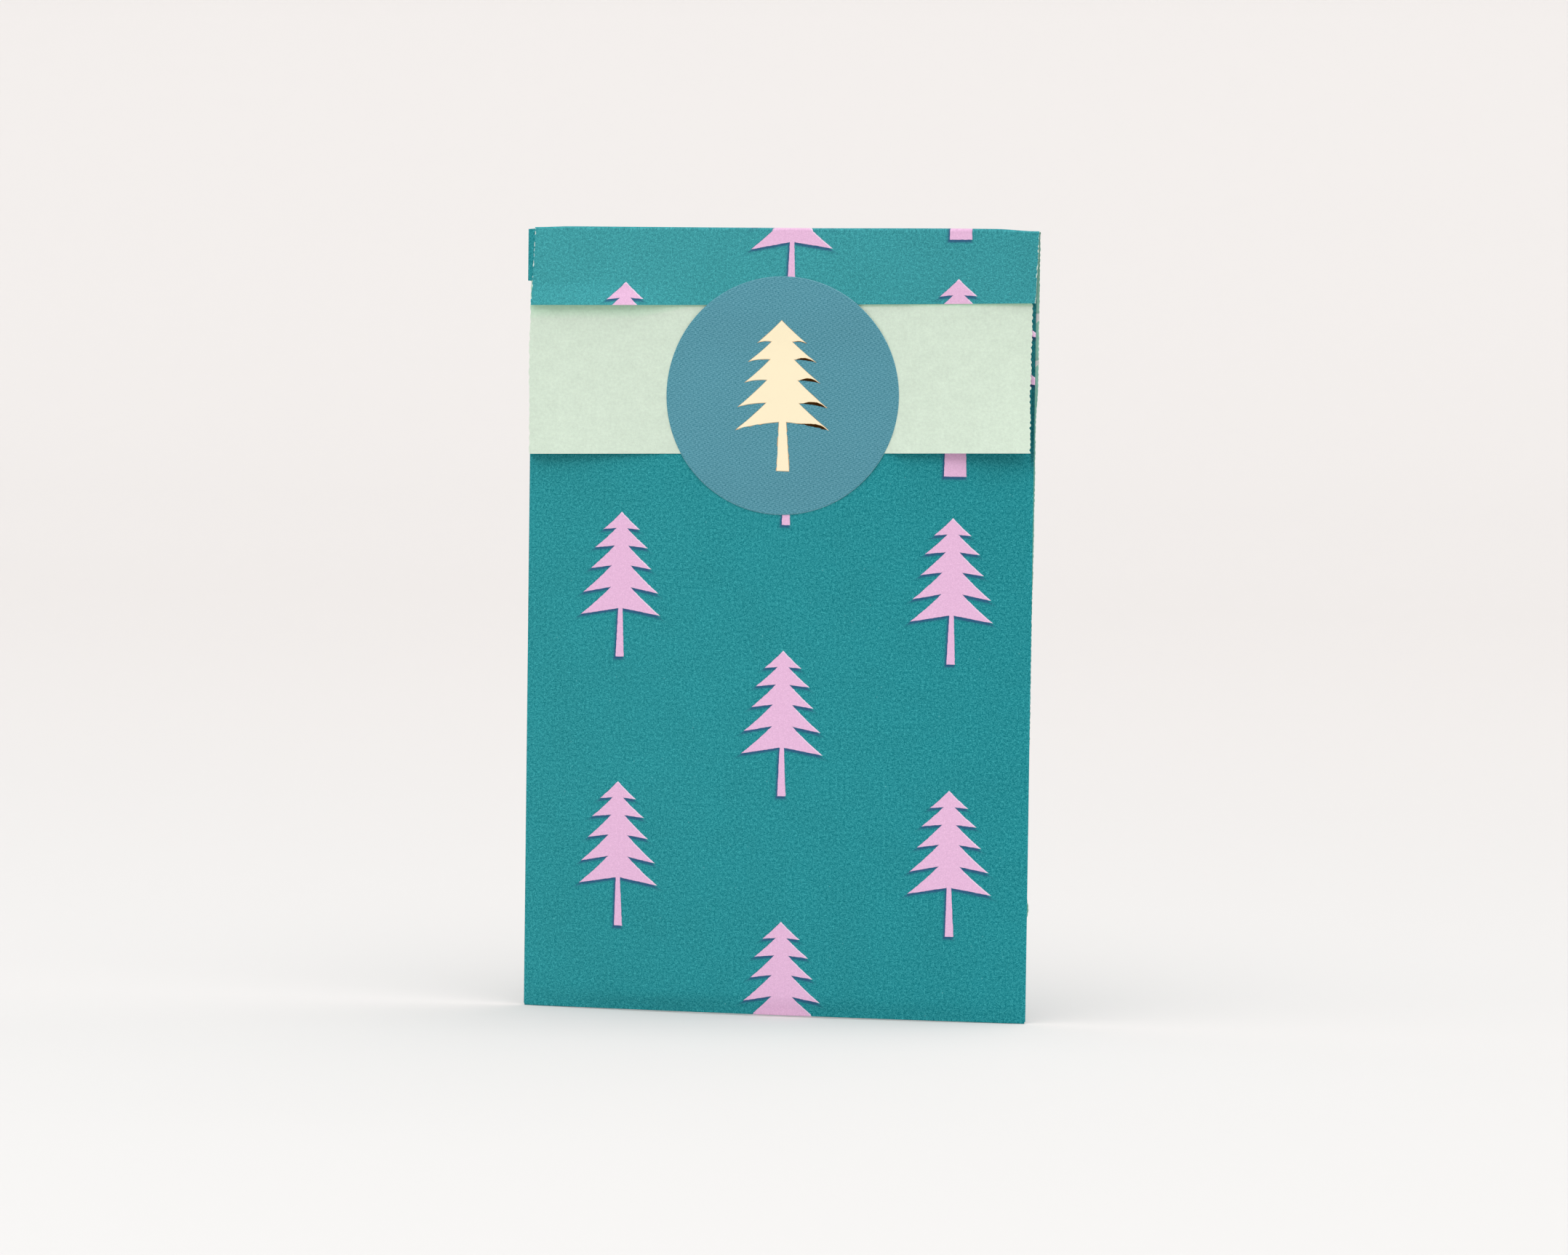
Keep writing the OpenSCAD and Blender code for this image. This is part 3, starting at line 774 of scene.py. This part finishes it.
def crease_fold():
    """Front and side flaps turning over the crease: the section swept half round the crease's line while it
    moves to the left."""
    x0, d0, nx, nd, u0 = SECTION
    turn = np.linspace(0, np.pi, 13)[:, None]
    reach = d0 - FOLD_DEPTH
    rise = (reach * (1 - 0.6 * smooth(np.abs(x0), 57.5, 60)) + crown(x0)) * np.sin(turn)
    mid = place(x0 - lean(x0, 0) * turn / np.pi, FOLD_DEPTH + reach * np.cos(turn), FOLD_Z + rise)
    sides = faced(mid, fill(nx, nd * np.cos(turn), nd * np.sin(turn)), u0, FOLD_V * np.cos(turn), NO_EDGE)
    made = shell("crease_fold", *sides, [PRINTED, INSIDE, CUT])
    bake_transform(made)


def crease_back():
    """Back sheet turning over the crease on the outside of all the other layers."""
    turn = np.linspace(0, np.pi, 17)[:, None]
    reach = STACK - PAPER / 2 - FOLD_DEPTH
    start, end = back_edges(FOLD_V), flap_edges(FOLD_V)
    share = turn / np.pi
    x, edge = between(*(first + share * (last - first) for first, last in zip(start, end)))
    mid = place(x, FOLD_DEPTH + reach * np.cos(turn), FOLD_Z + (reach + crown(x)) * np.sin(turn))
    sides = faced(mid, fill(0 * x, np.cos(turn), np.sin(turn)), x, 2 * BAG_H - FOLD_V * np.cos(turn), edge)
    made = shell("crease_back", *sides, [PRINTED, BACK_INSIDE_SHADED, CUT])
    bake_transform(made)


def lip_sheet():
    """Front sheet past the crease, inside out: a neck with the ends of the side flaps, then the free lip with
    toothed sides, which lifts off the front."""
    x0, d0, nx, nd, u0 = SECTION
    v = np.linspace(FOLD_V, SEAM_END, 9)[:, None]
    mid = place(x0 - lean(x0, (v - FOLD_V) / (SEAM_END - FOLD_V)), -GAP - d0, BAG_H - v)
    neck = faced(mid, np.stack([nx, -nd, 0 * nx], axis=-1), u0, -v, NO_EDGE)
    v = np.linspace(SEAM_END + GAP, LIP_L, round((LIP_L - SEAM_END) / TOOTH_ROW) + 1)[:, None]
    x, edge = between(*lip_edges(v))
    v = v + (lip_end(x) - LIP_L) * ((v - SEAM_END) / (LIP_L - SEAM_END)) ** 2
    free = faced(place(x, -GAP - PAPER / 2 - lip_lift(x, v), BAG_H - v), BACKWARD, x, -v, edge)
    made = joined("lip_sheet", neck, free, paints=[PRINTED, INSIDE, CUT])
    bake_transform(made)
    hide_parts("lip_neck", "lip", "left_flap_end", "right_flap_end")


def outer_flap_sheet():
    """Back sheet past the crease: slanting toothed sides and a clean lower edge that stands off the lip on
    the left."""
    v = np.linspace(FOLD_V, FLAP_L, 2 * round((FLAP_L - FOLD_V) / TOOTH_ROW) + 1)[:, None]
    x, edge = between(*flap_edges(v))
    v = v + (flap_end(x) - FLAP_L) * (v - FOLD_V) / (FLAP_L - FOLD_V)
    mid = place(x, -GAP - STACK + PAPER / 2 - flap_lift(x, v), BAG_H - v)
    made = shell("outer_flap_sheet", *faced(mid, -BACKWARD, x, 2 * BAG_H + v, edge), [PRINTED, BACK_INSIDE_SHADED, CUT])
    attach(made, "closure")
    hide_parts("outer_flap")


# -------- seal

# How far the seal's top edge stands above its solid's, and its middle's place down from the crease
SEAL_RISE = 0.1
SEAL_V = SEAL_DROP + SEAL_R - SEAL_RISE
# Length over which the seal's stiff paper bridges the edge of a layer
BRIDGE = 13.0


def under_seal(v):
    """Depth of the seal's back: in front of the outer flap, then sinking onto the lip, then onto the front."""
    on_flap, on_lip = -GAP - STACK, -GAP - PAPER
    return (on_flap + (on_lip - on_flap) * smooth(v, FLAP_L, FLAP_L + BRIDGE)
            - on_lip * smooth(v, LIP_L, LIP_L + BRIDGE) - GAP / 2)


def disc(name, radius, near, far, bevel, paints):
    """Round sheet over the seal's place: rings about a middle point on two faces, and a wall between them.
    near and far are how far the faces stand in front of the seal's back. The near one is lower by bevel at
    its rim."""
    segments = 160
    turn = np.linspace(0, 2 * np.pi, segments, endpoint=False)
    rings = np.concatenate([np.linspace(0, radius - 0.6, 30)[1:], radius - np.array([0.3, 0.08, 0.0])])
    r = rings[:, None]
    u, v = SEAL_U + r * np.sin(turn), SEAL_V - r * np.cos(turn)
    sunk = np.where(r > radius - 0.01, bevel, 0.0)
    u, v, sunk, r = (np.concatenate([[middle], np.broadcast_to(grid, u.shape).ravel()]) for middle, grid in
                     zip((SEAL_U, SEAL_V, 0.0, 0.0), (u, v, sunk, r)))
    front = place(u, under_seal(v) - near + sunk, BAG_H - v)
    behind = place(u, under_seal(v) - far, BAG_H - v)
    count = len(u)
    index = 1 + np.arange(len(rings) * segments).reshape(len(rings), segments)
    beside = np.roll(index, -1, axis=1)
    fan = np.stack([np.zeros(segments, int), beside[0], index[0]], axis=-1)
    ring = np.stack([index[:-1], beside[:-1], beside[1:], index[1:]], axis=-1).reshape(-1, 4)
    wall = np.stack([beside[-1], index[-1], index[-1] + count, beside[-1] + count], axis=-1)
    quads = np.concatenate([ring[:, ::-1], ring + count, wall[:, ::-1]])
    points = np.concatenate([front, behind])
    triangles = np.concatenate([fan, fan[:, ::-1] + count])
    kinds = np.repeat([0, 1, 0, 1, 2], [segments, segments, len(ring), len(ring), segments])
    facts = np.stack([u - SEAL_U, v, radius - r], axis=-1)
    return solid(name, points, [triangles, quads], kinds, facts, paints)


def seal():
    """Paper seal on its tacky layer."""
    label = disc("seal_label_sheet", SEAL_R, TACK_T + SEAL_T, TACK_T, 0.05, [SEAL_FACE, SEAL_SIDE, SEAL_SIDE])
    film = disc("seal_tack", SEAL_R - 0.15, TACK_T, 0.0, 0.0, [GLUE, GLUE, GLUE])
    for piece, node, slot in ((label, "seal_label", "seal_paper"), (film, "seal_adhesive", "glue")):
        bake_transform(piece)
        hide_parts(node)


# Place of the foil tree: across and down to its point, and how far to the right its foot leans
FOIL_U = 0.42
FOIL_V = 21.2
FOIL_LEAN = 0.81
# Its outline: length of a step, and depth and pitch of its raggedness, which is greater on the trunk
FOIL_STEP = 0.35
RAGGED, RAGGED_PITCH = 0.035, 0.7
TRUNK_RAGGED = 4.5
# Pitch of the scatter of points inside it
FOIL_PITCH = 0.9


def foil_outline():
    """Outline of the foil tree as across and down, from its point down the right side and up the left:
    hollow upper edges, arched lower edges and a ragged trunk."""
    (trunk_top, trunk_start), (trunk_foot, trunk_end) = FOIL_TRUNK
    right = []
    for top, waist, tip, reach, next_top, next_waist in with_next(FOIL_TIERS, FOIL_TRUNK):
        share = np.linspace(0, 1, max(3, int((tip - top) / FOIL_STEP)))
        share = share[1:] if top else share
        curve = share * (1 - HOLLOW + HOLLOW * share)
        right.append([waist + (reach - waist) * curve, top + (tip - top) * share])
        share = np.linspace(0, 1, max(3, int((reach - next_waist) / FOIL_STEP)))[1:]
        drop = tip + (next_top - tip) * share - 4 * FOIL_ARCH * share * (1 - share)
        right.append([reach + (next_waist - reach) * share, drop])
    share = np.linspace(0, 1, int((trunk_foot - trunk_top) / FOIL_STEP))[1:]
    right.append([trunk_start + (trunk_end - trunk_start) * share, trunk_top + (trunk_foot - trunk_top) * share])
    right = np.concatenate(right, axis=1)
    left = right[:, :0:-1] * np.array([[-1], [1]])
    across, down = np.concatenate([right, left], axis=1)
    along = np.arange(len(across)) * FOIL_STEP
    ragged = RAGGED * np.where(down > trunk_top + 0.5, TRUNK_RAGGED, 1.0)
    return np.stack([across + ragged * noise(along, RAGGED_PITCH, 71),
                     down + ragged * noise(along, RAGGED_PITCH, 72)], axis=-1)


def foil_tree():
    """Foil tree on the seal: its outline filled with triangles about an even scatter of inner points, as a
    thin solid that follows the seal."""
    outline = foil_outline()
    count = len(outline)
    gx, gy = np.meshgrid(np.arange(-11.5, 11.6, FOIL_PITCH), np.arange(0.5, 35, FOIL_PITCH))
    grid = np.stack([gx.ravel(), gy.ravel()], axis=-1)
    x, y = grid[:, :1], grid[:, 1:]
    (x0, y0), (x1, y1) = outline.T, np.roll(outline, -1, axis=0).T
    crosses = (y0 > y) != (y1 > y)
    rise = np.where(y1 == y0, 1e-9, y1 - y0)
    reach = x0 + (y - y0) / rise * (x1 - x0)
    within = ((crosses & (x < reach)).sum(axis=1) % 2) == 1
    room = np.sqrt(((grid[:, None] - outline[None]) ** 2).sum(axis=-1)).min(axis=1) > FOIL_STEP
    points = np.concatenate([outline, grid[within & room]])
    ring = [(i, (i + 1) % count) for i in range(count)]
    corners = [Vector(point) for point in points]
    flat, _, faces, *_ = geometry.delaunay_2d_cdt(corners, ring, [list(range(count))], 1, 1e-5)
    flat, faces = np.array(flat), np.array(faces)
    total = len(flat)
    across, down = flat.T
    v = FOIL_V + down
    u = FOIL_U + FOIL_LEAN * down / FOIL_TRUNK[1][0] + across
    off = TACK_T + SEAL_T + FOIL_GAP
    behind = place(u, under_seal(v) - off, BAG_H - v)
    front = behind - np.array([0, FOIL_T, 0])
    corner = flat[faces]
    spin = np.cross(corner[:, 1] - corner[:, 0], corner[:, 2] - corner[:, 0])
    faces[spin > 0] = faces[spin > 0][:, ::-1]
    sides = np.concatenate([faces[:, [0, 1]], faces[:, [1, 2]], faces[:, [2, 0]]])
    key = np.sort(sides, axis=1) @ np.array([total, 1])
    values, counts = np.unique(key, return_counts=True)
    rim = sides[np.isin(key, values[counts == 1])]
    wall = np.stack([rim[:, 1], rim[:, 0], rim[:, 0] + total, rim[:, 1] + total], axis=-1)
    faces = [faces[:, ::-1], faces + total, wall[:, ::-1]]
    made = solid("foil_tree", np.concatenate([front, behind]), faces, np.zeros(sum(map(len, faces))),
                 np.stack([across, down, 0 * down], axis=-1), [FOIL], rounded=False)
    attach(made, "seal")
    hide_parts("seal_foil_tree")


bag_sheet()
crease_fold()
crease_back()
lip_sheet()
outer_flap_sheet()
seal()
foil_tree()


def glue_line(name, side, layer, low, body):
    """Line of dried glue on a side flap, a little wavy along its edges. layer is 1 behind the front and -1 in
    front of the lip's neck."""
    z = np.linspace(low, FOLD_Z, max(9, int((FOLD_Z - low) / PLAIN_ROW)))[:, None]
    outer = GLUE_IN + 0.25 * noise(z, 4.0, 81 + side) * smooth(z, low, low + 3)
    inner = GLUE_IN + GLUE_W + 0.25 * noise(z, 5.0, 91 + side)
    x = side * (BAG_W / 2 - outer - (inner - outer) * np.linspace(0, 1, 5))
    near = (2 * PAPER + GAP) * layer - (GAP if layer < 0 else 0)
    mid = place(x, near + layer * GLUE_T / 2, z)
    step = BACKWARD * layer * GLUE_T / 2
    made = shell(name, mid + step, mid - step, fill(x, z, NO_EDGE), [GLUE, GLUE, GLUE])
    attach(made, body)
    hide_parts(name.replace("line", "glue"))


for side, word in ((-1, "left"), (1, "right")):
    glue_line(word + "_seam_line", side, 1, SEAM_START, "bag")
    glue_line(word + "_end_line", side, -1, BAG_H - SEAM_END, "closure")

# -------- stage, light and camera


# Painted light and shade of the floor and backdrop: distance along them from the bag in metres, and their middle
# channel there
FLOOR_PAINTED_LIGHT = ((-0.4, 0.622), (0.16, 0.602), (0.65, 0.588), (1.04, 0.584), (1.63, 0.578), (2.2, 0.577),
               (2.33, 0.581), (2.51, 0.595), (2.72, 0.632), (2.89, 0.667), (3.09, 0.718))


def sweep():
    """Floor that rises into a backdrop far behind the bag: a flat run, a quarter round and an upright, all
    along one profile, whose tone changes slowly along it as painted light and shade."""
    near, run, rise, r, side = -1600.0, 2200.0, 2600.0, 900.0, 2600.0
    turn = np.linspace(0, np.pi / 2, 24)
    y = np.concatenate([[near, 0.0, 900.0], run + r * np.sin(turn), [run + r]])
    z = np.concatenate([[0.0, 0.0, 0.0], r - r * np.cos(turn), [rise]])
    reach = np.concatenate([y[:3], run + r * turn, [run + r * np.pi / 2 + rise - r]]) * MM
    points = fill(np.array([-side, side]), y[:, None], z[:, None])
    index = np.arange(points.size // 3).reshape(len(y), 2)
    faces = np.stack([index[:-1, 0], index[:-1, 1], index[1:, 1], index[1:, 0]], axis=-1)
    mesh = bpy.data.meshes.new("floor")
    mesh.from_pydata((points.reshape(-1, 3) * MM).tolist(), [], faces.tolist())
    mesh.polygons.foreach_set("use_smooth", np.ones(len(faces), bool))
    reach = np.repeat(reach, 2).astype(np.float32)
    mesh.attributes.new("reach", "FLOAT", "POINT").data.foreach_set("value", reach)
    graph = Paint("floor_paper")
    # Painted light and shade: the tone dips and rises along the floor and backdrop
    first, last = FLOOR_PAINTED_LIGHT[0][0], FLOOR_PAINTED_LIGHT[-1][0]
    share = graph.ramp(graph.add("ShaderNodeAttribute", attribute_name="reach").outputs["Fac"], first, last)
    tones = graph.add("ShaderNodeValToRGB", [(0, share)])
    stops = tones.color_ramp.elements
    while len(stops) < len(FLOOR_PAINTED_LIGHT):
        stops.new(0.5)
    for stop, (distance, tone) in zip(stops, FLOOR_PAINTED_LIGHT):
        warm = float(smooth(distance, -0.4, 1.6))
        stop.position = (distance - first) / (last - first)
        stop.color = (tone * (1.012 + 0.022 * warm), tone, tone * (0.988 - 0.007 * warm), 1)
    mesh.materials.append(graph.coat(tones.outputs[0], 0.9, 0.0))
    floor = stand("floor", mesh)


sweep()


def lamp(name, towards, wide, strength):
    """Soft lamp so far off that it lights every place alike. towards points from the bag to it, and wide is
    the angle that it fills, in degrees."""
    made = bpy.data.lights.new(name, "SUN")
    made.angle, made.energy = np.radians(wide), strength
    turn = Vector(towards).to_track_quat("Z", "Y").to_matrix().to_4x4()
    stand(name, made).matrix_world = Matrix.Translation(Vector(towards)) @ turn


lamp("top_light", (0.1, -0.34, 0.95), 80.0, 2.65)
lamp("back_light", (0.5, 0.55, 0.62), 75.0, 0.65)
lamp("far_light", (0.2, 0.9, 0.4), 40.0, 0.55)
lamp("left_light", (-0.9, -0.1, 0.6), 60.0, 0.35)
lamp("right_light", (0.95, 0.1, 0.6), 60.0, 0.45)


# Light of the world, its strength, and the tone that the camera sees round the backdrop
SKY, SKY_STRENGTH = (0.97, 0.96, 0.955, 1), 0.45
BEYOND = (0.955, 0.95, 0.935, 1)


def studio():
    """World: an even pale light, which the foil and other gloss see white, and the camera at the tone of the
    backdrop."""
    world = bpy.data.worlds.new("studio")
    world.use_nodes = True
    graph = Graph(world.node_tree)
    rays = graph.add("ShaderNodeLightPath").outputs
    shine = graph.math("MAXIMUM", rays["Is Glossy Ray"], rays["Is Transmission Ray"])
    seen = graph.math("MAXIMUM", rays["Is Camera Ray"], shine)
    lit = world.node_tree.nodes["Background"]
    lit.inputs[0].default_value, lit.inputs[1].default_value = SKY, SKY_STRENGTH
    pale = graph.mix(rays["Is Camera Ray"], (1, 1, 1, 1), BEYOND)
    shown = graph.add("ShaderNodeBackground", [(0, pale), (1, 1.0)])
    both = graph.add("ShaderNodeMixShader", [(0, seen), (1, lit.outputs[0]), (2, shown.outputs[0])])
    graph.feed(world.node_tree.nodes["World Output"].inputs[0], both.outputs[0])
    bpy.context.scene.world = world


studio()


def camera():
    """Camera fitted to the corners, edges, print and seal of the bag in the photograph: its place and turns,
    in a frame that faces the camera, and the turn of that frame to the bag's own."""
    focal, width = 7971.13, 2156.0
    away, height, pan, pitch, roll, yaw = 1347.53, 153.85, 0.0012, 0.04706, 0.0132, 0.2198
    forward = np.array([np.sin(pan) * np.cos(pitch), np.cos(pan) * np.cos(pitch), -np.sin(pitch)])
    lift = np.array([np.sin(pan) * np.sin(pitch), np.cos(pan) * np.sin(pitch), np.cos(pitch)])
    level = np.array([np.cos(pan), -np.sin(pan), 0])
    right = level * np.cos(roll) + lift * np.sin(roll)
    up = lift * np.cos(roll) - level * np.sin(roll)
    turn = np.array([[np.cos(yaw), -np.sin(yaw), 0], [np.sin(yaw), np.cos(yaw), 0], [0, 0, 1]])
    at = turn @ np.array([0, -away, height]) + np.array([X_MID, Y_MID, 0])
    axes = np.stack([turn @ right, turn @ up, -(turn @ forward)], axis=1)
    matrix = np.eye(4)
    matrix[:3, :3], matrix[:3, 3] = axes, at * MM
    eye = bpy.data.cameras.new("camera")
    eye.sensor_width = 36.0
    eye.lens = eye.sensor_width * focal / width
    eye.clip_start, eye.clip_end = 0.05, 20.0
    holder = stand("camera", eye)
    holder.matrix_world = Matrix(matrix.tolist())
    bpy.context.scene.camera = holder


camera()
